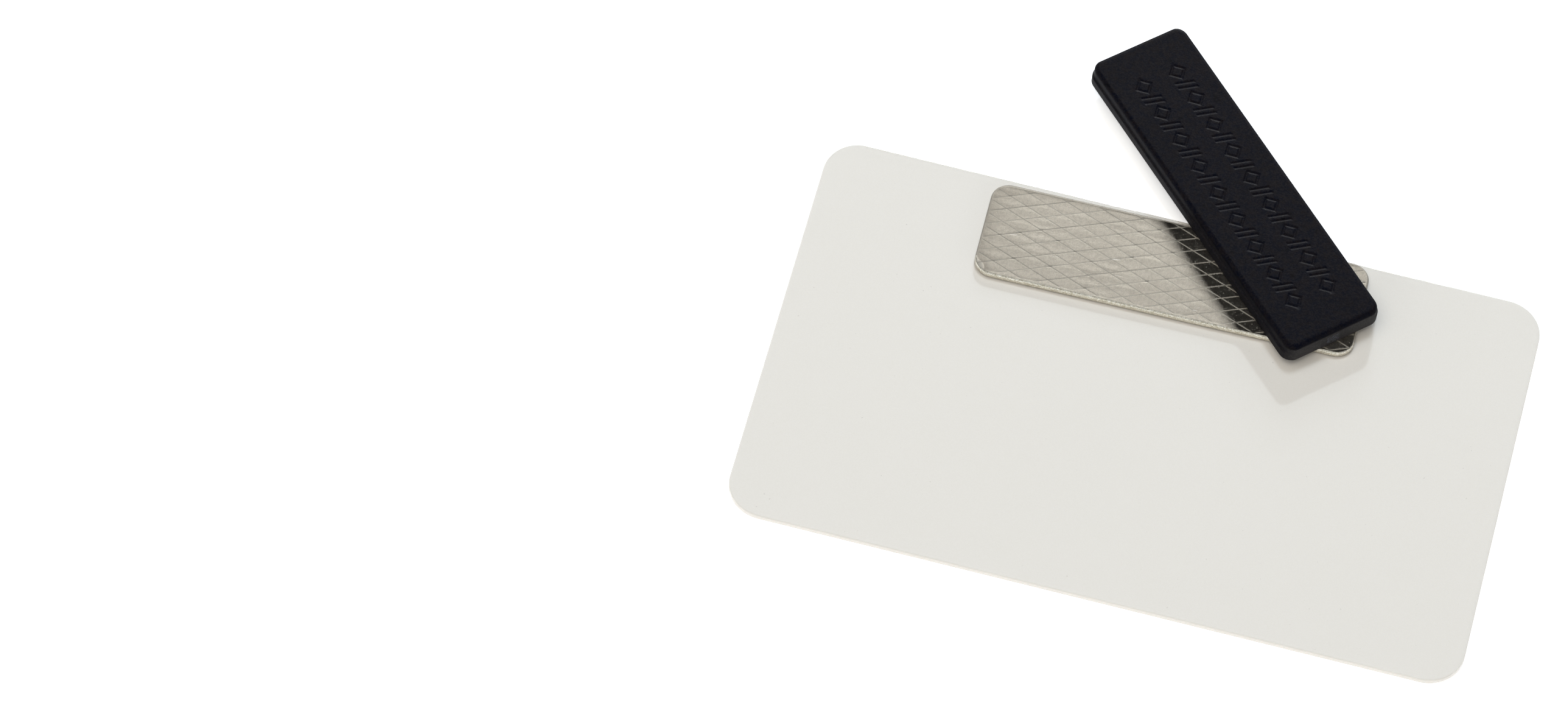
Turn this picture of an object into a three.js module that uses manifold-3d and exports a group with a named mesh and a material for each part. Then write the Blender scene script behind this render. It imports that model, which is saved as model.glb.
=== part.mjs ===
// Magnetic name badge, lying face down with its magnet bar clinging across the steel plate.
// Units are millimetres and +Z is up. The origin is the centre of the card's front face, which
// rests on the surface. +X runs along the card's long side, +Y towards the edge that the bar
// overhangs, and +Z out of the card's back.

import * as THREE from 'three';
import { mergeVertices } from 'three/addons/utils/BufferGeometryUtils.js';
import Module from 'manifold-3d';

// Card: one moulded sheet whose front edge is rolled over.
const CARD_LENGTH = 85.6;
const CARD_WIDTH = 52.5;
const CARD_THICKNESS = 0.9;
const CARD_CORNER_RADIUS = 4.4;
const CARD_FRONT_ROUND = 0.4;
const CARD_BACK_ROUND = 0.12;

// Steel plate, stuck to the card's back a little out of true.
const PLATE_LENGTH = 45;
const PLATE_WIDTH = 12.8;
const PLATE_THICKNESS = 0.7;
const PLATE_CORNER_RADIUS = 2.2;
const PLATE_EDGE_ROUND = 0.22;
const PLATE_MARGIN_TO_CARD_EDGE = 0.86;
const PLATE_SHIFT_ALONG_CARD = -0.37;
const PLATE_TURN_DEG = 0.83;

// Adhesive tape between the card and the plate.
const TAPE_THICKNESS = 0.2;
const TAPE_SET_BACK = 0.3;

// Magnets in the bar.
const MAGNET_COUNT = 3;
const MAGNET_DIAMETER = 9.5;
const MAGNET_THICKNESS = 1.6;
const MAGNET_CLEARANCE = 0.2;
const MAGNET_RECESS = 0.1;

// Bar housing: the plastic round and between the magnet pockets.
const BAR_SIDE_WALL = 1.55;
const BAR_END_WALL = 4.05;
const BAR_RIB = 3.6;
const BAR_TOP_SKIN = 1.0;
const BAR_CORNER_RADIUS = 1.5;
const BAR_TOP_ROUND = 0.5;
const BAR_FOOT_ROUND = 0.15;
const BAR_PARTING_HEIGHT = 1.25;
const BAR_PARTING_STEP = 0.2;
const BAR_DRAFT = 0.05;

// Where the bar lies: the middle of its inner end, from the plate's centre, and its turn.
const BAR_END_FROM_PLATE_X = 20.23;
const BAR_END_FROM_PLATE_Y = -4.69;
const BAR_TURN_DEG = -46.24;

// Shallow marks pressed into the bar's top: rows of lozenges with pairs of slashes between.
const MARK_ROWS = 2;
const MARK_ROW_PITCH = 4.6;
const MARK_HEIGHT = 2.3;
const MARK_STROKE = 0.32;
const MARK_DEPTH = 0.12;
const MARK_PITCH = 4.2;
const MARK_END_MARGIN = 2.6;
const SLASH_LEAN = 0.7;
const SLASH_GAP = 0.75;

// Facets: steps in a quarter turn of an outline corner and of an edge round, sides of a disc.
const CORNER_STEPS = 8;
const EDGE_STEPS = 4;
const DISC_SIDES = 48;

const POCKET_DIAMETER = MAGNET_DIAMETER + 2 * MAGNET_CLEARANCE;
const POCKET_DEPTH = MAGNET_RECESS + MAGNET_THICKNESS;
const MAGNET_PITCH = POCKET_DIAMETER + BAR_RIB;
const BAR_LENGTH = (MAGNET_COUNT - 1) * MAGNET_PITCH + POCKET_DIAMETER + 2 * BAR_END_WALL;
const BAR_WIDTH = POCKET_DIAMETER + 2 * BAR_SIDE_WALL;
const BAR_HEIGHT = POCKET_DEPTH + BAR_TOP_SKIN;

const PLATE_X = PLATE_SHIFT_ALONG_CARD;
const PLATE_Y = CARD_WIDTH / 2 - PLATE_MARGIN_TO_CARD_EDGE - PLATE_WIDTH / 2;
const PLATE_BASE_Z = CARD_THICKNESS + TAPE_THICKNESS;
const BAR_BASE_Z = PLATE_BASE_Z + PLATE_THICKNESS;
const BAR_TURN = THREE.MathUtils.degToRad(BAR_TURN_DEG);
const BAR_X = PLATE_X + BAR_END_FROM_PLATE_X - (BAR_LENGTH / 2) * Math.cos(BAR_TURN);
const BAR_Y = PLATE_Y + BAR_END_FROM_PLATE_Y - (BAR_LENGTH / 2) * Math.sin(BAR_TURN);

const CUT_OVERRUN = 0.5;

const wasm = await Module();
wasm.setup();

const finishes = {
  card: { color: 0xe6e3da, roughness: 0.16, metalness: 0 },
  tape: { color: 0x8d7a60, roughness: 0.7, metalness: 0 },
  steel: { color: 0xa39d91, roughness: 0.34, metalness: 1 },
  housing: { color: 0x1c1c20, roughness: 0.6, metalness: 0 },
  magnet: { color: 0xb9b8b2, roughness: 0.25, metalness: 1 },
};

// One row of a slab's outline: a rounded rectangle at height z, pulled in by endInset at the
// short ends and by sideInset along the long sides.
function outlineRow(length, width, radius, { z, endInset, sideInset }) {
  const corners = [[1, 1], [-1, 1], [-1, -1], [1, -1]];
  const points = [];
  corners.forEach(([signX, signY], quarter) => {
    for (let step = 0; step <= CORNER_STEPS; step += 1) {
      const angle = (quarter + step / CORNER_STEPS) * (Math.PI / 2);
      points.push([
        signX * (length / 2 - radius) + (radius - endInset) * Math.cos(angle),
        signY * (width / 2 - radius) + (radius - sideInset) * Math.sin(angle),
        z,
      ]);
    }
  });
  return points;
}

// A closed slab through its outline rows, listed from the bottom up, with flat ends.
function slabGeometry(length, width, radius, rows) {
  const outlines = rows.map((row) => outlineRow(length, width, radius, row));
  const count = outlines[0].length;
  const bottomCentre = rows.length * count;
  const topCentre = bottomCentre + 1;
  const topRow = (rows.length - 1) * count;
  const positions = outlines.flat(2);
  positions.push(0, 0, rows[0].z, 0, 0, rows[rows.length - 1].z);
  const indices = [];
  for (let k = 0; k < count; k += 1) {
    const next = (k + 1) % count;
    for (let row = 0; row < rows.length - 1; row += 1) {
      const low = row * count;
      const high = low + count;
      indices.push(low + k, low + next, high + next, low + k, high + next, high + k);
    }
    indices.push(bottomCentre, next, k, topCentre, topRow + k, topRow + next);
  }
  const geometry = new THREE.BufferGeometry();
  geometry.setAttribute('position', new THREE.Float32BufferAttribute(positions, 3));
  geometry.setIndex(indices);
  return geometry;
}

// Rows of a quarter-round edge. A foot round opens out from the flat at z, and a top round
// closes in to the flat at z.
function edgeRound(z, radius, rising, endInset = 0, sideInset = 0) {
  const rows = [];
  for (let step = 0; step <= EDGE_STEPS; step += 1) {
    const angle = (step / EDGE_STEPS) * (Math.PI / 2);
    const inset = radius * (1 - (rising ? Math.sin(angle) : Math.cos(angle)));
    const height = rising ? z + radius * (1 - Math.cos(angle)) : z - radius * (1 - Math.sin(angle));
    rows.push({ z: height, endInset: endInset + inset, sideInset: sideInset + inset });
  }
  return rows;
}

// Manifold solid of a three.js geometry, with its shared vertices merged.
function solidOf(geometry) {
  const bare = geometry.clone();
  bare.deleteAttribute('normal');
  bare.deleteAttribute('uv');
  const merged = mergeVertices(bare);
  return new wasm.Manifold(new wasm.Mesh({
    numProp: 3,
    vertProperties: new Float32Array(merged.attributes.position.array),
    triVerts: new Uint32Array(merged.index.array),
  }));
}

// three.js geometry of a manifold solid.
function geometryOf(solid) {
  const mesh = solid.getMesh();
  const geometry = new THREE.BufferGeometry();
  geometry.setAttribute('position', new THREE.BufferAttribute(mesh.vertProperties, 3));
  geometry.setIndex(new THREE.BufferAttribute(mesh.triVerts, 1));
  return geometry;
}

function namedMesh(name, geometry, finish) {
  geometry.computeVertexNormals();
  const mesh = new THREE.Mesh(geometry, new THREE.MeshStandardMaterial(finish));
  mesh.name = name;
  return mesh;
}

function cardGeometry() {
  return slabGeometry(CARD_LENGTH, CARD_WIDTH, CARD_CORNER_RADIUS, [
    ...edgeRound(0, CARD_FRONT_ROUND, true),
    ...edgeRound(CARD_THICKNESS, CARD_BACK_ROUND, false),
  ]);
}

function tapeGeometry() {
  return slabGeometry(
    PLATE_LENGTH - 2 * TAPE_SET_BACK,
    PLATE_WIDTH - 2 * TAPE_SET_BACK,
    PLATE_CORNER_RADIUS - TAPE_SET_BACK,
    [
      { z: 0, endInset: 0, sideInset: 0 },
      { z: TAPE_THICKNESS, endInset: 0, sideInset: 0 },
    ],
  );
}

function plateGeometry() {
  return slabGeometry(PLATE_LENGTH, PLATE_WIDTH, PLATE_CORNER_RADIUS, [
    { z: 0, endInset: 0, sideInset: 0 },
    ...edgeRound(PLATE_THICKNESS, PLATE_EDGE_ROUND, false),
  ]);
}

// The housing's outside: a full foot up to the parting line, then a slightly narrower top.
function housingBody() {
  return solidOf(slabGeometry(BAR_LENGTH, BAR_WIDTH, BAR_CORNER_RADIUS, [
    ...edgeRound(0, BAR_FOOT_ROUND, true),
    { z: BAR_PARTING_HEIGHT, endInset: 0, sideInset: 0 },
    { z: BAR_PARTING_HEIGHT + BAR_PARTING_STEP / 2, endInset: 0, sideInset: BAR_PARTING_STEP },
    ...edgeRound(BAR_HEIGHT, BAR_TOP_ROUND, false, BAR_DRAFT, BAR_PARTING_STEP + BAR_DRAFT),
  ]));
}

function magnetPlaces() {
  return Array.from(
    { length: MAGNET_COUNT },
    (_, index) => (index - (MAGNET_COUNT - 1) / 2) * MAGNET_PITCH,
  );
}

function discGeometry(diameter, height) {
  return new THREE.CylinderGeometry(diameter / 2, diameter / 2, height, DISC_SIDES)
    .rotateX(Math.PI / 2);
}

// A pocket's cutter, open through the housing's underside.
function pocketCutter(x) {
  const height = POCKET_DEPTH + CUT_OVERRUN;
  return solidOf(
    discGeometry(POCKET_DIAMETER, height).translate(x, 0, POCKET_DEPTH - height / 2),
  );
}

// The outline of a lozenge as tall as a mark, with its inside left standing.
function lozengeShape() {
  const half = MARK_HEIGHT / 2;
  const inner = half - MARK_STROKE * Math.SQRT2;
  const diamond = (reach) => [
    new THREE.Vector2(reach, 0),
    new THREE.Vector2(0, reach),
    new THREE.Vector2(-reach, 0),
    new THREE.Vector2(0, -reach),
  ];
  const shape = new THREE.Shape(diamond(half));
  shape.holes.push(new THREE.Path(diamond(inner)));
  return shape;
}

function slashShape(x) {
  const half = MARK_HEIGHT / 2;
  const lean = SLASH_LEAN / 2;
  const width = MARK_STROKE / 2;
  return new THREE.Shape([
    new THREE.Vector2(x - lean - width, -half),
    new THREE.Vector2(x - lean + width, -half),
    new THREE.Vector2(x + lean + width, half),
    new THREE.Vector2(x + lean - width, half),
  ]);
}

// Cutters of the marks in the housing's top, two rows side by side along the bar.
function markCutters() {
  const across = BAR_LENGTH - 2 * (BAR_TOP_ROUND + MARK_END_MARGIN) - MARK_HEIGHT;
  const gaps = Math.floor(across / MARK_PITCH);
  const cutters = [];
  for (let row = 0; row < MARK_ROWS; row += 1) {
    const y = (row - (MARK_ROWS - 1) / 2) * MARK_ROW_PITCH;
    for (let index = 0; index <= gaps; index += 1) {
      const x = (index - gaps / 2) * MARK_PITCH;
      const shapes = [lozengeShape()];
      if (index < gaps) {
        shapes.push(slashShape(MARK_PITCH / 2 - SLASH_GAP / 2));
        shapes.push(slashShape(MARK_PITCH / 2 + SLASH_GAP / 2));
      }
      shapes.forEach((shape) => {
        const cutter = new THREE.ExtrudeGeometry(shape, {
          depth: MARK_DEPTH + CUT_OVERRUN,
          bevelEnabled: false,
        });
        cutters.push(solidOf(cutter.translate(x, y, BAR_HEIGHT - MARK_DEPTH)));
      });
    }
  }
  return cutters;
}

function housingGeometry() {
  let housing = housingBody();
  [...magnetPlaces().map(pocketCutter), ...markCutters()].forEach((cutter) => {
    housing = housing.subtract(cutter);
  });
  return geometryOf(housing);
}

// The plate and its tape, turned together on the card's back.
function plateGroup() {
  const group = new THREE.Group();
  group.position.set(PLATE_X, PLATE_Y, CARD_THICKNESS);
  group.rotation.z = THREE.MathUtils.degToRad(PLATE_TURN_DEG);
  const plate = namedMesh('steel_plate', plateGeometry(), finishes.steel);
  plate.position.z = TAPE_THICKNESS;
  group.add(namedMesh('adhesive_tape', tapeGeometry(), finishes.tape), plate);
  return group;
}

// The bar with its magnets, lying across the plate.
function barGroup() {
  const group = new THREE.Group();
  group.position.set(BAR_X, BAR_Y, BAR_BASE_Z);
  group.rotation.z = BAR_TURN;
  group.add(namedMesh('bar_housing', housingGeometry(), finishes.housing));
  magnetPlaces().forEach((x, index) => {
    const disc = discGeometry(MAGNET_DIAMETER, MAGNET_THICKNESS);
    const magnet = namedMesh(`magnet_disc_${index + 1}`, disc, finishes.magnet);
    magnet.position.set(x, 0, MAGNET_RECESS + MAGNET_THICKNESS / 2);
    group.add(magnet);
  });
  return group;
}

const badge = new THREE.Group();
badge.add(namedMesh('badge_card', cardGeometry(), finishes.card), plateGroup(), barGroup());

export default badge;
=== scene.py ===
import math

import bpy
import numpy as np
from mathutils import Matrix, Vector
from mathutils.geometry import tessellate_polygon


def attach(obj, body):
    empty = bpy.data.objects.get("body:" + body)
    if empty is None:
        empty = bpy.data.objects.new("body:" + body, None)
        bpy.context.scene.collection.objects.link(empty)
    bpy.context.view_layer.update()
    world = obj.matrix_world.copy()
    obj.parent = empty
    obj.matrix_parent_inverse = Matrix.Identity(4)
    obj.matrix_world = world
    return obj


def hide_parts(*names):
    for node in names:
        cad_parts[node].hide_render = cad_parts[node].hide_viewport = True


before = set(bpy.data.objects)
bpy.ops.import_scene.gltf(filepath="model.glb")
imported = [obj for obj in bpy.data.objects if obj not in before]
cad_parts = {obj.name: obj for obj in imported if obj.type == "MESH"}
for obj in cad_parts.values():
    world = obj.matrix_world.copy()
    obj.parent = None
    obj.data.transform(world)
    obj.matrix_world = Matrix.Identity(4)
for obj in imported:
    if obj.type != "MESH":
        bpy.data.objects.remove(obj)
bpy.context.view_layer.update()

MM = 0.001

# Sizes in millimetres. What the CAD source has too is the same there, apart from the marks'
# stroke and depth, which are finer here.
CARD_LENGTH = 85.6
CARD_WIDTH = 52.5
CARD_THICKNESS = 0.9
CARD_CORNER = 4.4
CARD_FRONT_ROUND = 0.4
CARD_BACK_ROUND = 0.12
CARD_WALL_ROW = 0.66
CARD_WAVE = 0.012

PLATE_LENGTH = 45.0
PLATE_WIDTH = 12.8
PLATE_THICKNESS = 0.7
PLATE_CORNER = 2.2
PLATE_ROUND = 0.22
PLATE_X = -0.37
PLATE_Y = 18.99
PLATE_TURN = math.radians(0.83)
PLATE_ROUND_STEPS = 7
PLATE_RIM_UNEVEN = 0.02

TAPE_THICKNESS = 0.2
TAPE_SET_BACK = 0.3
TAPE_INSET = 0.02
TAPE_BULGE = 0.05
TAPE_UNEVEN = 0.06

BAR_LENGTH = 45.0
BAR_WIDTH = 13.0
BAR_HEIGHT = 2.7
BAR_CORNER = 1.5
BAR_TOP_ROUND = 0.5
BAR_FOOT_ROUND = 0.15
BAR_PARTING_HEIGHT = 1.25
BAR_PARTING_STEP = 0.2
BAR_DRAFT = 0.05
BAR_TURN = math.radians(-46.24)
BAR_END_FROM_PLATE = (20.23, -4.69)
BAR_X = PLATE_X + BAR_END_FROM_PLATE[0] - BAR_LENGTH / 2 * math.cos(BAR_TURN)
BAR_Y = PLATE_Y + BAR_END_FROM_PLATE[1] - BAR_LENGTH / 2 * math.sin(BAR_TURN)

# The torn gate. It fades in between the two heights of its foot and out between its head's.
GATE_WIDTH = 1.8
GATE_SOFT = 0.12
GATE_OFFSET = 0.2
GATE_FOOT = (0.35, 0.6)
GATE_HEAD = (1.5, 1.75)
SCUFF_DEPTH = 0.07

POCKET_DIAMETER = 9.9
POCKET_DEPTH = 1.7
POCKET_PITCH = 13.5
POCKET_SIDES = 96

MARK_ROW_PITCH = 4.6
MARK_HEIGHT = 2.3
MARK_STROKE = 0.26
MARK_DEPTH = 0.08
MARK_SOFT = 0.065
MARK_MARGIN = 0.2
MARK_PITCH = 4.2
MARK_GAPS = 8
SLASH_LEAN = 0.7
SLASH_GAP = 0.75

# Scored diamonds of the steel plate, in its own frame: two families of lines, given by their
# spacing along y, their slopes and one crossing, the node. Depths are measured down from the
# plate's nominal top, which nothing rises above.
SCORE_SPACING = 1.85
SCORE_SLOPES = (0.42, -0.41)
SCORE_NODE = (-18.125, 2.0)
SCORE_HALF_WIDTH = 0.052
SCORE_DARK_HALF = 0.022
SCORE_FADED_HALF = 0.105
SCORE_DEPTH = 0.0024
PILLOW_HEIGHT = 0.0011
LIP_HEIGHT = 0.0006
LIP_OFFSET = 0.15
LIP_HALF_WIDTH = 0.06
CELL_TILT = 0.005
TILT_LIMIT = 0.003
TOP_MARGIN = 0.003
CROSSING_DEPTH = 0.008
CROSSING_HALF_WIDTHS = (0.1, 0.22)
SCRATCH_DEPTH = 0.003
SCRATCH_HALF_WIDTH = 0.05
SCRATCH_COUNT = 16
LINE_JITTER = 0.035

# Lengths of the tables of random values that lines, crossings and cells look up.
LINE_DRAWS = 201
CROSSING_DRAWS = 211
CELL_DRAWS = 223

TAPE_BASE = CARD_THICKNESS
PLATE_BASE = CARD_THICKNESS + TAPE_THICKNESS
BAR_BASE = PLATE_BASE + PLATE_THICKNESS

# The camera, fitted to the photo's edges. Angles in radians, lengths in millimetres.
LENS_PIXELS = 12000.0
FRAME_PIXELS = 2576.0
SENSOR_WIDTH = 36.0
CAMERA_AZIMUTH = math.radians(9.21)
CAMERA_ELEVATION = math.radians(57.71)
CAMERA_ROLL = math.radians(5.95)
CAMERA_TARGET = (-40.87, -4.33, 0.0)
CAMERA_DISTANCE = 839.9

# The studio. Sizes in metres.
FLOOR_HALF = 6.0
FLOOR_GLOW = 0.4
WARM = (1.0, 0.97, 0.915)
COOL = (0.87, 1.0, 1.15)


# Mesh building

def smoothstep(low, high, value):
    t = np.clip((value - low) / (high - low), 0.0, 1.0)
    return t * t * (3.0 - 2.0 * t)


class Slab:
    """A rounded slab: a fine grid on top, loops round its edge and a flat underside."""

    def __init__(self, length, width, corner, top_inset, columns, rows, corner_rows):
        """Columns and rows are counts, or rising lists from -1 to 1 for uneven spacing."""
        end_inset, side_inset = top_inset
        share = np.linspace(-1, 1, columns + 1) if isinstance(columns, int) else columns
        columns = len(share) - 1
        heights = np.linspace(-1, 1, rows + 1) if isinstance(rows, int) else rows
        phi = np.radians(np.linspace(-90, 0, corner_rows + 1))
        straight = width / 2 - corner
        low_y = -straight + (corner - side_inset) * np.sin(phi)
        middle_y = straight * heights[1:-1]
        row_y = np.concatenate([low_y, middle_y, -low_y[::-1]])
        low_x = length / 2 - corner + (corner - end_inset) * np.cos(phi)
        full = np.full(len(middle_y), length / 2 - end_inset)
        row_x = np.concatenate([low_x, full, low_x[::-1]])
        self.x = row_x[:, None] * share[None, :]
        self.y = np.repeat(row_y[:, None], columns + 1, axis=1)
        row_phi = np.concatenate([phi, np.zeros(len(middle_y)), -phi[::-1]])
        flat_x = (length / 2 - corner) * share
        outer_y = np.concatenate([
            -straight + corner * np.sin(phi), middle_y, straight - corner * np.sin(phi[::-1]),
        ])
        outer_x = np.concatenate([
            length / 2 - corner + corner * np.cos(phi),
            np.full(len(middle_y), length / 2),
            length / 2 - corner + corner * np.cos(phi[::-1]),
        ])
        count = len(row_y)
        index = np.arange(count * (columns + 1)).reshape(count, columns + 1)
        self.index = index
        self.rim = np.concatenate([
            index[0, :], index[1:, -1], index[-1, -2::-1], index[-2:0:-1, 0],
        ])
        rim_x = np.concatenate([flat_x, outer_x[1:], flat_x[-2::-1], -outer_x[-2:0:-1]])
        rim_y = np.concatenate([
            np.full(columns + 1, -width / 2),
            outer_y[1:],
            np.full(columns, width / 2),
            outer_y[-2:0:-1],
        ])
        normal_x = np.concatenate([
            np.zeros(columns + 1),
            np.cos(row_phi[1:]),
            np.zeros(columns),
            -np.cos(row_phi[-2:0:-1]),
        ])
        normal_y = np.concatenate([
            -np.ones(columns + 1),
            np.sin(row_phi[1:]),
            np.ones(columns),
            np.sin(row_phi[-2:0:-1]),
        ])
        self.rim_x = rim_x
        self.rim_y = rim_y
        self.normal_x = normal_x
        self.normal_y = normal_y

    def loop(self, z, end_inset, side_inset):
        """Points of the outline at height z, pulled in at the ends and along the sides."""
        return np.column_stack([
            self.rim_x - end_inset * self.normal_x,
            self.rim_y - side_inset * self.normal_y,
            np.full(len(self.rim_x), z),
        ])

    def top(self, z):
        return np.column_stack([self.x.ravel(), self.y.ravel(), np.ravel(z)])

    def mesh_parts(self, top_z, loops, cap=True):
        """Vertices and faces. The loops run from the top's rim down to the underside."""
        points = [self.top(top_z)] + loops
        vertices = np.concatenate(points)
        quads = [np.column_stack([
            self.index[:-1, :-1].ravel(),
            self.index[:-1, 1:].ravel(),
            self.index[1:, 1:].ravel(),
            self.index[1:, :-1].ravel(),
        ])]
        upper = self.rim
        start = self.x.size
        size = len(self.rim)
        for _ in loops:
            lower = start + np.arange(size)
            quads.append(np.column_stack([
                upper, lower, np.roll(lower, -1), np.roll(upper, -1),
            ]))
            upper = lower
            start += size
        faces = np.concatenate(quads).tolist()
        if cap:
            faces.append(upper[::-1].tolist())
        return vertices, faces, upper


def place(points, x, y, z, turn):
    """Points of a piece's own frame, in millimetres, as metres in the part's frame."""
    c, s = math.cos(turn), math.sin(turn)
    return np.column_stack([
        x + points[:, 0] * c - points[:, 1] * s,
        y + points[:, 0] * s + points[:, 1] * c,
        z + points[:, 2],
    ]) * MM


def piece(name, vertices, faces, materials, sharp_angle=35):
    mesh = bpy.data.meshes.new(name)
    mesh.from_pydata(vertices.tolist(), [], faces)
    for item in materials:
        mesh.materials.append(item)
    mesh.polygons.foreach_set("use_smooth", np.ones(len(mesh.polygons), bool))
    mesh.set_sharp_from_angle(angle=math.radians(sharp_angle))
    mesh.update()
    made = bpy.data.objects.new(name, mesh)
    bpy.context.scene.collection.objects.link(made)
    return made


def point_values(made, name, values):
    """A number for each vertex, which a material reads by its name."""
    attribute = made.data.attributes.new(name, "FLOAT", "POINT")
    attribute.data.foreach_set("value", np.asarray(values, np.float32))


def round_down(height, radius, steps, end_inset=0.0, side_inset=0.0):
    """Loop rows of a rounded top edge below its first row: (z, end inset, side inset)."""
    rows = []
    for step in range(1, steps + 1):
        angle = math.pi / 2 * (1 - step / steps)
        inset = radius * (1 - math.cos(angle))
        z = height - radius * (1 - math.sin(angle))
        rows.append((z, end_inset + inset, side_inset + inset))
    return rows


def round_in(radius, steps):
    """Loop rows of a rounded lower edge, down to the underside at 0."""
    rows = []
    for step in range(steps + 1):
        angle = math.pi / 2 * (1 - step / steps)
        inset = radius * (1 - math.sin(angle))
        rows.append((radius * (1 - math.cos(angle)), inset, inset))
    return rows


def rim_noise(count, width, seed):
    """Smooth closed noise between 0 and 1 along an outline."""
    values = np.random.default_rng(seed).random(count)
    kernel = np.hanning(width + 2)[1:-1]
    kernel /= kernel.sum()
    wrapped = np.concatenate([values[-width:], values, values[:width]])
    smooth = np.convolve(wrapped, kernel, mode="same")[width:-width]
    smooth -= smooth.min()
    return smooth / smooth.max()


# Pieces

def make_card(materials):
    inset = (CARD_BACK_ROUND, CARD_BACK_ROUND)
    slab = Slab(CARD_LENGTH, CARD_WIDTH, CARD_CORNER, inset, 200, 100, 24)
    x, y = slab.x, slab.y
    # The sheet is very slightly uneven. It dips and never rises above its nominal face.
    wave = 0.5 + 0.25 * np.sin(x / 7.3 + 1.1) * np.cos(y / 9.1 + 0.4)
    wave = wave + 0.25 * np.sin((x + 1.7 * y) / 11.9)
    edge = np.minimum(CARD_LENGTH / 2 - np.abs(x), CARD_WIDTH / 2 - np.abs(y))
    top_z = CARD_THICKNESS - CARD_WAVE * wave * smoothstep(0.2, 3.0, edge)
    rows = round_down(CARD_THICKNESS, CARD_BACK_ROUND, 4)
    rows += [(CARD_WALL_ROW, 0, 0)]
    rows += round_in(CARD_FRONT_ROUND, 6)
    loops = [slab.loop(*row) for row in rows]
    vertices, faces, _ = slab.mesh_parts(top_z, loops)
    made = piece("card_sheet", place(vertices, 0, 0, 0, 0), faces, materials)
    # The underside is the last face. It carries the printed front.
    sides = np.zeros(len(made.data.polygons), np.int32)
    sides[-1] = 1
    made.data.polygons.foreach_set("material_index", sides)
    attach(made, "badge")
    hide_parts("badge_card")
    return made


def make_tape(material):
    slab = Slab(
        PLATE_LENGTH - 2 * TAPE_SET_BACK,
        PLATE_WIDTH - 2 * TAPE_SET_BACK,
        PLATE_CORNER - TAPE_SET_BACK,
        (0, 0), 120, 40, 12,
    )
    loops = []
    for step, share in enumerate((1.0, 0.75, 0.5, 0.25, 0.0)):
        bulge = TAPE_BULGE * (1 - math.cos(math.pi * step / 2)) / 2
        inset = TAPE_INSET + bulge + TAPE_UNEVEN * rim_noise(len(slab.rim_x), 9, 40 + step)
        loops.append(slab.loop(share * TAPE_THICKNESS, inset, inset))
    vertices, faces, _ = slab.mesh_parts(np.full(slab.x.shape, TAPE_THICKNESS), loops)
    points = place(vertices, PLATE_X, PLATE_Y, TAPE_BASE, PLATE_TURN)
    made = piece("foam_tape", points, faces, [material])
    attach(made, "badge")
    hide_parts("adhesive_tape")
    return made


def score_lines(x, y):
    """Groove, crossing, lip, pillow and tilt over the plate's top, and each family's lines.

    A family's lines are a line number that runs evenly over the plate, whole on each line, and
    the strength of the nearest line. The material draws the lines from them.
    """
    groove = np.zeros_like(x)
    lip = np.zeros_like(x)
    distances = []
    numbers = []
    offsets = []
    families = []
    for family, slope in enumerate(SCORE_SLOPES):
        draws = np.random.default_rng(60 + family)
        along = math.hypot(1, slope)
        offset = y - slope * (x - SCORE_NODE[0]) - SCORE_NODE[1]
        number = np.round(offset / SCORE_SPACING)
        jitter = draws.normal(0, LINE_JITTER, LINE_DRAWS)
        strength = draws.uniform(0.6, 1.0, LINE_DRAWS)
        lines = (number + LINE_DRAWS // 2).astype(int)
        distance = np.abs(offset - number * SCORE_SPACING - jitter[lines]) / along
        distances.append(distance)
        numbers.append(lines)
        offsets.append(offset)
        families.append(((offset - jitter[lines]) / SCORE_SPACING, strength[lines]))
        mask = np.exp(-(distance / SCORE_HALF_WIDTH) ** 2) * strength[lines]
        groove = np.maximum(groove, mask)
        mask = np.exp(-((distance - LIP_OFFSET) / LIP_HALF_WIDTH) ** 2) * strength[lines]
        lip = np.maximum(lip, mask)
    near = (numbers[0] * 31 + numbers[1] * 17 + 400) % CROSSING_DRAWS
    strength = np.random.default_rng(64).uniform(-0.5, 1.0, CROSSING_DRAWS).clip(0, 1)[near]
    crossing = np.exp(-(distances[0] / CROSSING_HALF_WIDTHS[0]) ** 2)
    crossing = crossing * np.exp(-(distances[1] / CROSSING_HALF_WIDTHS[1]) ** 2) * strength
    half = SCORE_SPACING / 2 * math.cos(math.atan(SCORE_SLOPES[0]))
    pillow = np.clip(distances[0] / half, 0, 1) * np.clip(distances[1] / half, 0, 1)
    pillow = smoothstep(0, 0.5, pillow)
    cell_row = np.floor(offsets[0] / SCORE_SPACING)
    cell_column = np.floor(offsets[1] / SCORE_SPACING)
    cell = ((cell_row * 29 + cell_column * 13).astype(int) + 900) % CELL_DRAWS
    slant, height = np.random.default_rng(65).normal(0, CELL_TILT, (2, CELL_DRAWS))
    middle_y = (cell_row + cell_column + 1) * SCORE_SPACING / 2 + SCORE_NODE[1] - 0.005 * x
    tilt = (slant[cell] * (y - middle_y) + height[cell] * 0.3) * pillow
    return groove, crossing, lip, pillow, tilt, families


def plate_scratches(x, y):
    """A few short stray scratches: a mask over the plate's top."""
    draws = np.random.default_rng(77)
    mask = np.zeros_like(x)
    for _ in range(SCRATCH_COUNT):
        cx, cy = draws.uniform(-21, 10), draws.uniform(-5.5, 5.5)
        angle = math.radians(draws.uniform(0, 16))
        half, bend = draws.uniform(0.25, 0.7), draws.uniform(-0.1, 0.1)
        u = (x - cx) * math.cos(angle) + (y - cy) * math.sin(angle)
        v = -(x - cx) * math.sin(angle) + (y - cy) * math.cos(angle) - bend * u * u
        line = np.exp(-(v / SCRATCH_HALF_WIDTH) ** 2)
        line = line * (1 - smoothstep(half * 0.6, half, np.abs(u)))
        mask = np.maximum(mask, line * draws.uniform(0.4, 1.0))
    return mask


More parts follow.
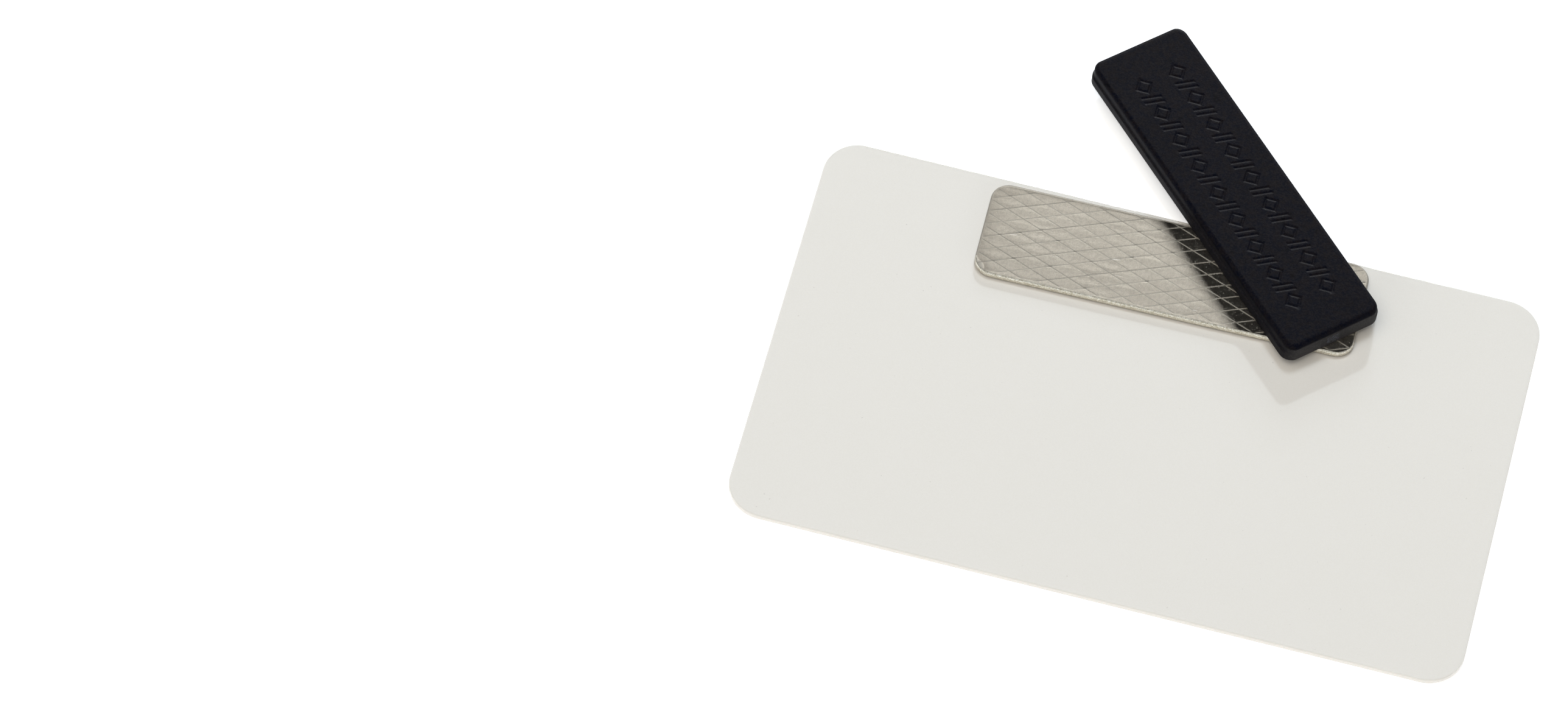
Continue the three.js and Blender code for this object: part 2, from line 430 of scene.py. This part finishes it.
def plate_darkening(x, y):
    """Darkening at the plate's left end and one corner, and painted shade along its far side."""
    left = x + PLATE_LENGTH / 2
    far = PLATE_WIDTH / 2 - y
    corner = np.hypot(x + PLATE_LENGTH / 2 - 0.6, y + PLATE_WIDTH / 2 - 0.6)
    darkening = 0.3 * np.exp(-left / 1.6) + 0.3 * np.exp(-left / 0.3) + 0.25 * np.exp(-far / 1.1)
    return darkening + 0.7 * np.exp(-far / 0.3) + 0.6 * np.exp(-corner ** 2)


def make_plate(material):
    inset = (PLATE_ROUND, PLATE_ROUND)
    slab = Slab(PLATE_LENGTH, PLATE_WIDTH, PLATE_CORNER, inset, 350, 170, 24)
    x, y = slab.x, slab.y
    groove, crossing, lip, pillow, tilt, families = score_lines(x, y)
    scratch = plate_scratches(x, y)
    edge = np.minimum(PLATE_LENGTH / 2 - np.abs(x), PLATE_WIDTH / 2 - np.abs(y)) - PLATE_ROUND
    inside = smoothstep(0.0, 0.25, edge)
    low = SCORE_DEPTH * groove + PILLOW_HEIGHT * (1 - pillow) - LIP_HEIGHT * lip + TOP_MARGIN
    low = low + CROSSING_DEPTH * crossing + SCRATCH_DEPTH * scratch
    low = low + np.clip(tilt, -TILT_LIMIT, TILT_LIMIT)
    top_z = PLATE_THICKNESS - low * inside
    rows = round_down(PLATE_THICKNESS, PLATE_ROUND, PLATE_ROUND_STEPS)
    rounded = len(rows)
    rows += [(0.3, 0, 0), (0.1, 0.01, 0.01), (0, 0.03, 0.03)]
    loops = []
    near_rim_highlight_values = [np.zeros(x.size)]
    darkening_values = [plate_darkening(x, y).ravel()]
    lower = np.clip(-slab.normal_y, 0, 1) ** 0.5
    for number, (z, end_inset, side_inset) in enumerate(rows):
        rough = 0.0
        if 0 < number <= rounded + 1:
            rough = PLATE_RIM_UNEVEN * rim_noise(len(slab.rim_x), 3, 100 + number)
        loops.append(slab.loop(z, end_inset + rough, side_inset + rough))
        # Painted highlight on the rim loops of the near side, toward the camera, and painted shade
        # on the rim loops of the other sides.
        share = 1.0 if number < rounded + 1 else 0.3
        near_rim_highlight_values.append(lower * share)
        darkening_values.append(0.85 * (1 - lower) * share)
    vertices, faces, _ = slab.mesh_parts(top_z, loops)
    points = place(vertices, PLATE_X, PLATE_Y, PLATE_BASE, PLATE_TURN)
    made = piece("scored_plate", points, faces, [material])
    below = np.zeros(len(vertices) - x.size)
    for letter, (number, strength) in zip("ab", families):
        strength = (strength * inside).ravel()
        point_values(made, "line_" + letter, np.concatenate([number.ravel(), below + 0.5]))
        point_values(made, "strength_" + letter, np.concatenate([strength, below]))
    point_values(made, "crossing", np.concatenate([(crossing * inside).ravel(), below]))
    point_values(made, "scratch", np.concatenate([(scratch * inside).ravel(), below]))
    # The rim value carries the painted highlight of the near rim.
    point_values(made, "rim", np.concatenate(near_rim_highlight_values))
    point_values(made, "darkening", np.clip(np.concatenate(darkening_values), 0, 1))
    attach(made, "badge")
    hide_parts("steel_plate")
    return made


def pressed_marks(x, y):
    """Mask of the rows of lozenges and slashes pressed into the bar's top."""
    mask = np.zeros_like(x)
    half = MARK_HEIGHT / 2
    for row in (-0.5, 0.5):
        v = y - row * MARK_ROW_PITCH
        for index in range(MARK_GAPS + 1):
            u = x - (index - MARK_GAPS / 2) * MARK_PITCH
            across = (np.abs(u) + np.abs(v)) / math.sqrt(2)
            middle = half / math.sqrt(2) - MARK_STROKE / 2
            away = np.abs(across - middle) - MARK_STROKE / 2
            mask = np.maximum(mask, 1 - smoothstep(-MARK_SOFT, MARK_SOFT, away))
            if index == MARK_GAPS:
                continue
            for side in (-1, 1):
                u2 = u - MARK_PITCH / 2 - side * SLASH_GAP / 2 - SLASH_LEAN / 2 * v / half
                away = np.maximum(np.abs(u2) - MARK_STROKE / 2, np.abs(v) - half)
                mask = np.maximum(mask, 1 - smoothstep(-MARK_SOFT, MARK_SOFT, away))
    return mask


def underside(vertices, faces, foot):
    """The flat foot with its three magnet pockets, added to the housing's vertices and faces."""
    start = len(vertices)
    added = []
    rings = []
    angles = np.linspace(0, 2 * math.pi, POCKET_SIDES, endpoint=False)
    for index in (-1, 0, 1):
        cx = index * POCKET_PITCH
        ring_x = cx + POCKET_DIAMETER / 2 * np.cos(angles)
        ring_y = POCKET_DIAMETER / 2 * np.sin(angles)
        for z in (0.0, POCKET_DEPTH):
            rings.append(start + np.arange(POCKET_SIDES))
            added.append(np.column_stack([ring_x, ring_y, np.full(POCKET_SIDES, z)]))
            start += POCKET_SIDES
    vertices = np.concatenate([vertices] + added)
    holes = [rings[0], rings[2], rings[4]]
    outlines = [[Vector(vertices[i]) for i in foot]]
    outlines += [[Vector(vertices[i]) for i in hole] for hole in holes]
    order = np.concatenate([foot] + holes)
    for corners in tessellate_polygon(outlines):
        a, b, c = (order[i] for i in corners)
        cross = np.cross(vertices[b][:2] - vertices[a][:2], vertices[c][:2] - vertices[a][:2])
        if abs(cross) < 1e-12:
            continue
        faces.append([a, c, b] if cross > 0 else [a, b, c])
    for low, high in ((rings[0], rings[1]), (rings[2], rings[3]), (rings[4], rings[5])):
        for k in range(POCKET_SIDES):
            n = (k + 1) % POCKET_SIDES
            faces.append([low[k], high[k], high[n], low[n]])
        faces.append(high[::-1].tolist())
    return vertices, faces


def spread(stretches):
    """Rising values from -1 to 1 out of (end, count) stretches, each evenly divided."""
    values = [np.array([-1.0])]
    start = -1.0
    for end, count in stretches:
        values.append(np.linspace(start, end, count + 1)[1:])
        start = end
    return np.concatenate(values)


def make_housing(material):
    flat_end = BAR_DRAFT + BAR_TOP_ROUND
    flat_side = BAR_PARTING_STEP + BAR_DRAFT + BAR_TOP_ROUND
    # The grid is fine over the rows of marks and coarse beside them.
    reach = (MARK_GAPS / 2 * MARK_PITCH + MARK_HEIGHT / 2 + MARK_MARGIN) / (BAR_LENGTH / 2)
    columns = spread([(-reach, 14), (reach, 400), (1.0, 14)])
    straight = BAR_WIDTH / 2 - BAR_CORNER
    low = (MARK_ROW_PITCH / 2 - MARK_HEIGHT / 2 - MARK_MARGIN) / straight
    high = (MARK_ROW_PITCH / 2 + MARK_HEIGHT / 2 + MARK_MARGIN) / straight
    rows = spread([(-high, 6), (-low, 34), (low, 8), (high, 34), (1.0, 6)])
    slab = Slab(BAR_LENGTH, BAR_WIDTH, BAR_CORNER, (flat_end, flat_side), columns, rows, 14)
    x, y = slab.x, slab.y
    marks = pressed_marks(x, y)
    top_z = BAR_HEIGHT - MARK_DEPTH * marks
    rows = round_down(BAR_HEIGHT, BAR_TOP_ROUND, 8, BAR_DRAFT, BAR_DRAFT + BAR_PARTING_STEP)
    low_top = BAR_PARTING_HEIGHT + BAR_PARTING_STEP / 2
    for share in (0.75, 0.5, 0.25):
        z = low_top + (BAR_HEIGHT - BAR_TOP_ROUND - low_top) * share
        rows.append((z, BAR_DRAFT * share, BAR_PARTING_STEP + BAR_DRAFT * share))
    rows += [
        (low_top + 0.02, 0, BAR_PARTING_STEP),
        (low_top, 0, BAR_PARTING_STEP - 0.03),
        (BAR_PARTING_HEIGHT + 0.03, 0, 0.03),
        (BAR_PARTING_HEIGHT - 0.03, 0, 0),
    ]
    rows += [(z, 0, 0) for z in (1.05, 0.85, 0.65, 0.45, 0.3)]
    rows += round_in(BAR_FOOT_ROUND, 4)
    loops = []
    painted_wall_sheen_values = [np.zeros(x.size)]
    scuff_values = [np.zeros(x.size)]
    torn = rim_noise(len(slab.rim_x), 5, 210)
    for z, end_inset, side_inset in rows:
        # The mould's gate was torn off in the middle of the end that lies over the plate.
        sideways = np.abs(slab.rim_y + GATE_OFFSET)
        across = 1 - smoothstep(GATE_WIDTH / 2 - GATE_SOFT, GATE_WIDTH / 2, sideways)
        across = across * (slab.normal_x > 0.99)
        scuff = across * smoothstep(*GATE_FOOT, z) * (1 - smoothstep(*GATE_HEAD, z))
        loops.append(slab.loop(z, end_inset + SCUFF_DEPTH * scuff * torn, side_inset))
        # Painted reflection: the walls below the top's rounding get a paler colour, most on the
        # ends.
        painted_sheen = 0.2 + 0.8 * np.clip(np.abs(slab.normal_x), 0, 1) ** 2
        painted_wall_sheen_values.append(painted_sheen * float(z < BAR_HEIGHT - BAR_TOP_ROUND))
        scuff_values.append(scuff)
    vertices, faces, foot = slab.mesh_parts(top_z, loops, cap=False)
    vertices, faces = underside(vertices, faces, foot)
    points = place(vertices, BAR_X, BAR_Y, BAR_BASE, BAR_TURN)
    made = piece("magnet_housing", points, faces, [material])
    painted_wall_sheen = np.concatenate(painted_wall_sheen_values)
    rest = np.zeros(len(vertices) - len(painted_wall_sheen))
    point_values(made, "painted_wall_sheen", np.concatenate([painted_wall_sheen, rest]))
    point_values(made, "scuff", np.concatenate(scuff_values + [rest]))
    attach(made, "magnet_bar")
    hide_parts("bar_housing")
    return made


# Materials

class Nodes:
    """Short names for building the nodes of a material or a world."""

    def __init__(self, owner, shader="Principled BSDF", place="Object"):
        owner.use_nodes = True
        self.owner = owner
        self.tree = owner.node_tree
        self.shader = self.tree.nodes[shader]
        self.place = self.add("ShaderNodeTexCoord").outputs[place]

    def add(self, kind, **settings):
        node = self.tree.nodes.new(kind)
        for key, value in settings.items():
            setattr(node, key, value)
        return node

    def put(self, socket, value):
        if isinstance(value, bpy.types.NodeSocket):
            self.tree.links.new(value, socket)
        else:
            socket.default_value = value

    def math(self, operation, a, b=0.0, c=0.0):
        node = self.add("ShaderNodeMath", operation=operation)
        for socket, value in zip(node.inputs, (a, b, c)):
            self.put(socket, value)
        return node.outputs[0]

    def noise(self, scale, detail=2.0, roughness=0.5, vector=None):
        node = self.add("ShaderNodeTexNoise")
        self.put(node.inputs["Vector"], vector or self.place)
        node.inputs["Scale"].default_value = scale
        node.inputs["Detail"].default_value = detail
        node.inputs["Roughness"].default_value = roughness
        return node.outputs["Fac"]

    def ramp(self, value, low, high, to_low=0.0, to_high=1.0):
        node = self.add("ShaderNodeMapRange", interpolation_type="SMOOTHSTEP")
        self.put(node.inputs["Value"], value)
        for key, number in (
            ("From Min", low), ("From Max", high), ("To Min", to_low), ("To Max", to_high),
        ):
            node.inputs[key].default_value = number
        return node.outputs["Result"]

    def mix(self, share, a, b):
        node = self.add("ShaderNodeMix", data_type="RGBA")
        self.put(node.inputs["Factor"], share)
        self.put(node.inputs[6], a)
        self.put(node.inputs[7], b)
        return node.outputs[2]

    def value_of(self, name):
        return self.add("ShaderNodeAttribute", attribute_name=name).outputs["Fac"]

    def axes(self):
        node = self.add("ShaderNodeSeparateXYZ")
        self.put(node.inputs[0], self.place)
        return node.outputs

    def bump(self, height, strength, distance):
        node = self.add("ShaderNodeBump")
        self.put(node.inputs["Height"], height)
        node.inputs["Strength"].default_value = strength
        node.inputs["Distance"].default_value = distance
        self.put(self.shader.inputs["Normal"], node.outputs["Normal"])

    def set(self, name, value):
        self.put(self.shader.inputs[name], value)


def colour(r, g, b):
    return (r, g, b, 1.0)


def card_material():
    n = Nodes(bpy.data.materials.new("glossy_card"))
    cloud = n.noise(160, 2)
    base = n.mix(n.ramp(cloud, 0.3, 0.7), colour(0.731, 0.697, 0.639), colour(0.735, 0.7, 0.643))
    fine = n.noise(6000, 2, 0.6)
    base = n.mix(n.ramp(fine, 0.3, 0.7, 0.0, 0.5), base, colour(0.756, 0.726, 0.674))
    specks = n.ramp(n.noise(2300, 1), 0.775, 0.81)
    base = n.mix(n.math("MULTIPLY", specks, 0.35), base, colour(0.42, 0.38, 0.34))
    n.set("Base Color", base)
    n.set("Roughness", n.ramp(n.noise(300, 2), 0.2, 0.8, 0.05, 0.11))
    n.bump(fine, 0.1, 0.00001)
    return n.owner


def print_material():
    n = Nodes(bpy.data.materials.new("printed_front"))
    x, y, _ = n.axes()
    dots = n.noise(5200, 1)
    base = n.mix(n.ramp(dots, 0.3, 0.7), colour(0.72, 0.71, 0.68), colour(0.76, 0.75, 0.72))

    def band(low_x, high_x, low_y, high_y):
        inside = n.math("GREATER_THAN", x, low_x * MM)
        for test in (
            n.math("LESS_THAN", x, high_x * MM),
            n.math("GREATER_THAN", y, low_y * MM),
            n.math("LESS_THAN", y, high_y * MM),
        ):
            inside = n.math("MULTIPLY", inside, test)
        return inside

    for box, tint in (
        ((-36, 10, 13, 17), colour(0.05, 0.13, 0.42)),
        ((14, 36, 13, 17), colour(0.4, 0.42, 0.45)),
        ((-24, 24, -1.6, 1.6), colour(0.03, 0.03, 0.035)),
        ((-15, 15, -9.2, -7.2), colour(0.03, 0.03, 0.035)),
    ):
        base = n.mix(band(*box), base, tint)
    n.set("Base Color", base)
    n.set("Roughness", n.ramp(n.noise(500, 2), 0.2, 0.8, 0.1, 0.18))
    return n.owner


def tape_material():
    n = Nodes(bpy.data.materials.new("foam_tape"))
    cells = n.noise(5200, 3, 0.6)
    base = n.mix(n.ramp(cells, 0.3, 0.7), colour(0.36, 0.3, 0.24), colour(0.56, 0.5, 0.42))
    n.set("Base Color", base)
    n.set("Roughness", n.ramp(cells, 0.2, 0.8, 0.7, 0.9))
    n.bump(cells, 0.5, 0.00004)
    return n.owner


def steel_material():
    n = Nodes(bpy.data.materials.new("nickel_plate"))
    grain = n.noise(9000, 3, 0.7)
    fine = n.noise(16000, 2, 0.6)
    cloud = n.noise(350, 2)
    base = n.mix(n.ramp(cloud, 0.3, 0.7), colour(0.67, 0.622, 0.53), colour(0.72, 0.672, 0.576))
    base = n.mix(n.ramp(grain, 0.35, 0.65, 0.0, 0.55), base, colour(0.4, 0.37, 0.31))
    base = n.mix(n.ramp(fine, 0.5, 0.7, 0.0, 0.6), base, colour(0.95, 0.91, 0.81))
    mottle = n.ramp(n.noise(2700, 4, 0.7), 0.46, 0.62, 0.0, 0.55)
    base = n.mix(mottle, base, colour(0.47, 0.44, 0.38))
    masks = []
    for letter, slope in zip("ab", SCORE_SLOPES):
        unit = math.hypot(1, slope) / SCORE_SPACING
        away = n.math("PINGPONG", n.value_of("line_" + letter), 0.5)
        mask = n.ramp(away, SCORE_DARK_HALF * unit, SCORE_FADED_HALF * unit, 1.0, 0.0)
        masks.append(n.math("MULTIPLY", mask, n.value_of("strength_" + letter)))
    score = n.math("MAXIMUM", masks[0], masks[1])
    line = n.mix(n.ramp(grain, 0.3, 0.7), colour(0.14, 0.122, 0.094), colour(0.3, 0.268, 0.218))
    base = n.mix(n.math("MULTIPLY", score, 0.95), base, line)
    crossing = n.ramp(n.value_of("crossing"), 0.2, 0.75, 0.0, 0.8)
    base = n.mix(crossing, base, colour(0.08, 0.075, 0.06))
    scratch = n.ramp(n.value_of("scratch"), 0.3, 0.9, 0.0, 0.7)
    base = n.mix(scratch, base, colour(0.95, 0.93, 0.88))
    # Painted shade: the far side and the rims turned from the camera are darkened, as are the left
    # end and one corner.
    darkening = n.value_of("darkening")
    base = n.mix(n.math("MULTIPLY", darkening, 0.85), base, colour(0.13, 0.11, 0.085))
    # Painted highlight: the near rim gets a bright, sparkling, less metallic colour.
    rim = n.value_of("rim")
    painted_rim_glint = n.noise(6500, 2, 0.6)
    painted_rim_glint = n.mix(n.ramp(painted_rim_glint, 0.4, 0.6), colour(0.55, 0.51, 0.4), colour(0.98, 0.96, 0.86))
    base = n.mix(rim, base, painted_rim_glint)
    pits = n.ramp(n.noise(7600, 2, 0.6), 0.6, 0.72, 0.0, 0.5)
    base = n.mix(pits, base, colour(0.3, 0.28, 0.25))
    n.set("Base Color", base)
    metal = n.math("SUBTRACT", 1.0, n.math("MULTIPLY", score, 0.95))
    metal = n.math("MULTIPLY", metal, n.math("SUBTRACT", 1.0, pits))
    metal = n.math("SUBTRACT", metal, n.math("MULTIPLY", rim, 0.35))
    # The painted-shade edges are also made less metallic and rougher, which takes off their sheen.
    dull_edge = n.ramp(darkening, 0.42, 0.6)
    metal = n.math("MULTIPLY", metal, n.math("SUBTRACT", 1.0, n.math("MULTIPLY", dull_edge, 0.85)))
    n.set("Metallic", metal)
    rough = n.ramp(grain, 0.2, 0.8, 0.31, 0.37)
    rough = n.math("SUBTRACT", rough, n.math("MULTIPLY", rim, 0.1))
    rough = n.math("ADD", rough, n.math("MULTIPLY", dull_edge, 0.4))
    n.set("Roughness", rough)
    n.bump(grain, 0.3, 0.00002)
    return n.owner


def housing_material():
    n = Nodes(bpy.data.materials.new("black_plastic"))
    grain = n.noise(5200, 2, 0.6)
    patch = n.noise(1300, 3, 0.6)
    cloud = n.noise(260, 2)
    patch = n.ramp(patch, 0.35, 0.65)
    base = n.mix(patch, colour(0.0016, 0.0024, 0.0064), colour(0.0056, 0.0042, 0.0052))
    coarse = n.noise(2700, 2, 0.6)
    base = n.mix(n.ramp(coarse, 0.42, 0.68, 0.0, 0.5), base, colour(0.0078, 0.0072, 0.0098))
    base = n.mix(n.ramp(grain, 0.45, 0.7, 0.0, 0.6), base, colour(0.0115, 0.0102, 0.012))
    base = n.mix(n.ramp(cloud, 0.35, 0.7, 0.0, 0.2), base, colour(0.0022, 0.0025, 0.0046))
    blotch = n.ramp(n.noise(520, 5, 0.7), 0.6, 0.68, 0.0, 0.7)
    base = n.mix(blotch, base, colour(0.001, 0.001, 0.0018))
    # Painted reflection on the walls, which are paler, most on the ends.
    painted_sheen = n.mix(n.ramp(grain, 0.3, 0.7), colour(0.028, 0.0268, 0.027), colour(0.048, 0.046, 0.047))
    base = n.mix(n.value_of("painted_wall_sheen"), base, painted_sheen)
    torn = n.ramp(n.noise(3800, 3, 0.65), 0.42, 0.62, 0.0, 0.9)
    base = n.mix(n.math("MULTIPLY", torn, n.value_of("scuff")), base, colour(0.085, 0.09, 0.105))
    n.set("Base Color", base)
    n.set("Roughness", n.ramp(grain, 0.2, 0.8, 0.42, 0.56))
    n.set("Specular IOR Level", 0.03)
    n.bump(grain, 0.5, 0.00003)
    return n.owner


def magnet_material():
    n = Nodes(bpy.data.materials.new("nickel_magnet"))
    cloud = n.noise(700, 3)
    base = n.mix(n.ramp(cloud, 0.3, 0.7), colour(0.62, 0.61, 0.59), colour(0.74, 0.73, 0.71))
    n.set("Base Color", base)
    n.set("Metallic", 1.0)
    n.set("Roughness", n.ramp(n.noise(2500, 2), 0.2, 0.8, 0.2, 0.32))
    return n.owner


# Stage, lights and camera

def area_light(
    name, azimuth, elevation, distance, size, power, diffuse=True, glossy=True, tint=(1, 1, 1),
):
    """A round light aimed at the part. Azimuth 0 is behind the part, as the camera sees it."""
    a, e = math.radians(azimuth), math.radians(elevation)
    back = Vector((math.sin(a) * math.cos(e), math.cos(a) * math.cos(e), math.sin(e)))
    data = bpy.data.lights.new(name, "AREA")
    data.shape = "DISK"
    data.size = size
    data.energy = power
    data.color = tint
    light = bpy.data.objects.new(name, data)
    light.location = back * distance
    light.rotation_mode = "QUATERNION"
    light.rotation_quaternion = back.to_track_quat("Z", "Y")
    light.visible_diffuse = diffuse
    light.visible_glossy = glossy
    light.visible_camera = False
    bpy.context.scene.collection.objects.link(light)
    return light


def make_world():
    """A studio, bright near the horizon, more so in front, and dim high up behind the part."""
    n = Nodes(bpy.data.worlds.new("studio"), "Background", "Generated")
    _, y, z = n.axes()
    height = n.math("ADD", z, n.ramp(y, -0.2, 0.5, 0.0, 0.16))
    band = n.ramp(height, 0.35, 0.75, 1.0, 0.0)
    front = n.ramp(y, -0.2, 0.5, 1.0, 0.55)
    n.set("Strength", n.math("ADD", n.math("MULTIPLY", band, front), 0.012))
    n.set("Color", colour(1, 1, 1))
    bpy.context.scene.world = n.owner


def make_floor():
    mesh = bpy.data.meshes.new("floor")
    corners = [
        (-FLOOR_HALF, -FLOOR_HALF, 0),
        (FLOOR_HALF, -FLOOR_HALF, 0),
        (FLOOR_HALF, FLOOR_HALF, 0),
        (-FLOOR_HALF, FLOOR_HALF, 0),
    ]
    mesh.from_pydata(corners, [], [[0, 1, 2, 3]])
    floor = bpy.data.objects.new("floor", mesh)
    bpy.context.scene.collection.objects.link(floor)
    n = Nodes(bpy.data.materials.new("pale_floor"))
    cloud = n.ramp(n.noise(3, 2), 0.3, 0.7)
    n.set("Base Color", n.mix(cloud, colour(0.93, 0.93, 0.93), colour(0.95, 0.95, 0.95)))
    n.set("Roughness", 0.9)
    n.set("Specular IOR Level", 0.0)
    n.set("Emission Color", colour(1, 1, 1))
    n.set("Emission Strength", FLOOR_GLOW)
    mesh.materials.append(n.owner)


def make_camera():
    target = Vector(CAMERA_TARGET) * MM
    back = Vector((
        math.sin(CAMERA_AZIMUTH) * math.cos(CAMERA_ELEVATION),
        -math.cos(CAMERA_AZIMUTH) * math.cos(CAMERA_ELEVATION),
        math.sin(CAMERA_ELEVATION),
    ))
    level = Vector((math.cos(CAMERA_AZIMUTH), math.sin(CAMERA_AZIMUTH), 0.0))
    up = back.cross(level)
    right = level * math.cos(CAMERA_ROLL) + up * math.sin(CAMERA_ROLL)
    top = up * math.cos(CAMERA_ROLL) - level * math.sin(CAMERA_ROLL)
    data = bpy.data.cameras.new("camera")
    data.sensor_fit = "HORIZONTAL"
    data.sensor_width = SENSOR_WIDTH
    data.lens = SENSOR_WIDTH * LENS_PIXELS / FRAME_PIXELS
    data.clip_start = 0.01
    data.clip_end = 20.0
    camera = bpy.data.objects.new("camera", data)
    turn = Matrix((right, top, back)).transposed().to_4x4()
    camera.matrix_world = Matrix.Translation(target + back * (CAMERA_DISTANCE * MM)) @ turn
    bpy.context.scene.collection.objects.link(camera)
    bpy.context.scene.camera = camera


def make_lights():
    """Light from above, and from low behind, where the bar shades the plate and the card.

    Lights that only shine on matt surfaces are kept apart from those that only show in sheen.
    """
    area_light("overhead", 232, 76, 1.3, 1.5, 11.9, glossy=False, tint=WARM)
    area_light("overhead_gloss", 180, 80, 1.3, 0.55, 0.65, diffuse=False)
    area_light("back_low", -3.0, 31.0, 1.2, 0.04, 3.1, glossy=False, tint=COOL)
    area_light("back_wide", -6, 22, 1.3, 0.5, 3.7, glossy=False, tint=COOL)
    area_light("back_low_gloss", -3.9, 24.8, 1.2, 0.24, 18.0, diffuse=False)
    area_light("back_high", -1, 68, 1.2, 0.24, 3.5, glossy=False, tint=COOL)


def dress_magnets(material):
    """The magnets stay the plain solids of the frame, with a material of their own."""
    for number in (1, 2, 3):
        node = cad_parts[f"magnet_disc_{number}"]
        node.data.materials.clear()
        node.data.materials.append(material)


make_camera()
make_world()
make_floor()
make_lights()

make_card([card_material(), print_material()])
make_tape(tape_material())
make_plate(steel_material())
make_housing(housing_material())
dress_magnets(magnet_material())

bpy.context.scene.view_settings.view_transform = "Standard"
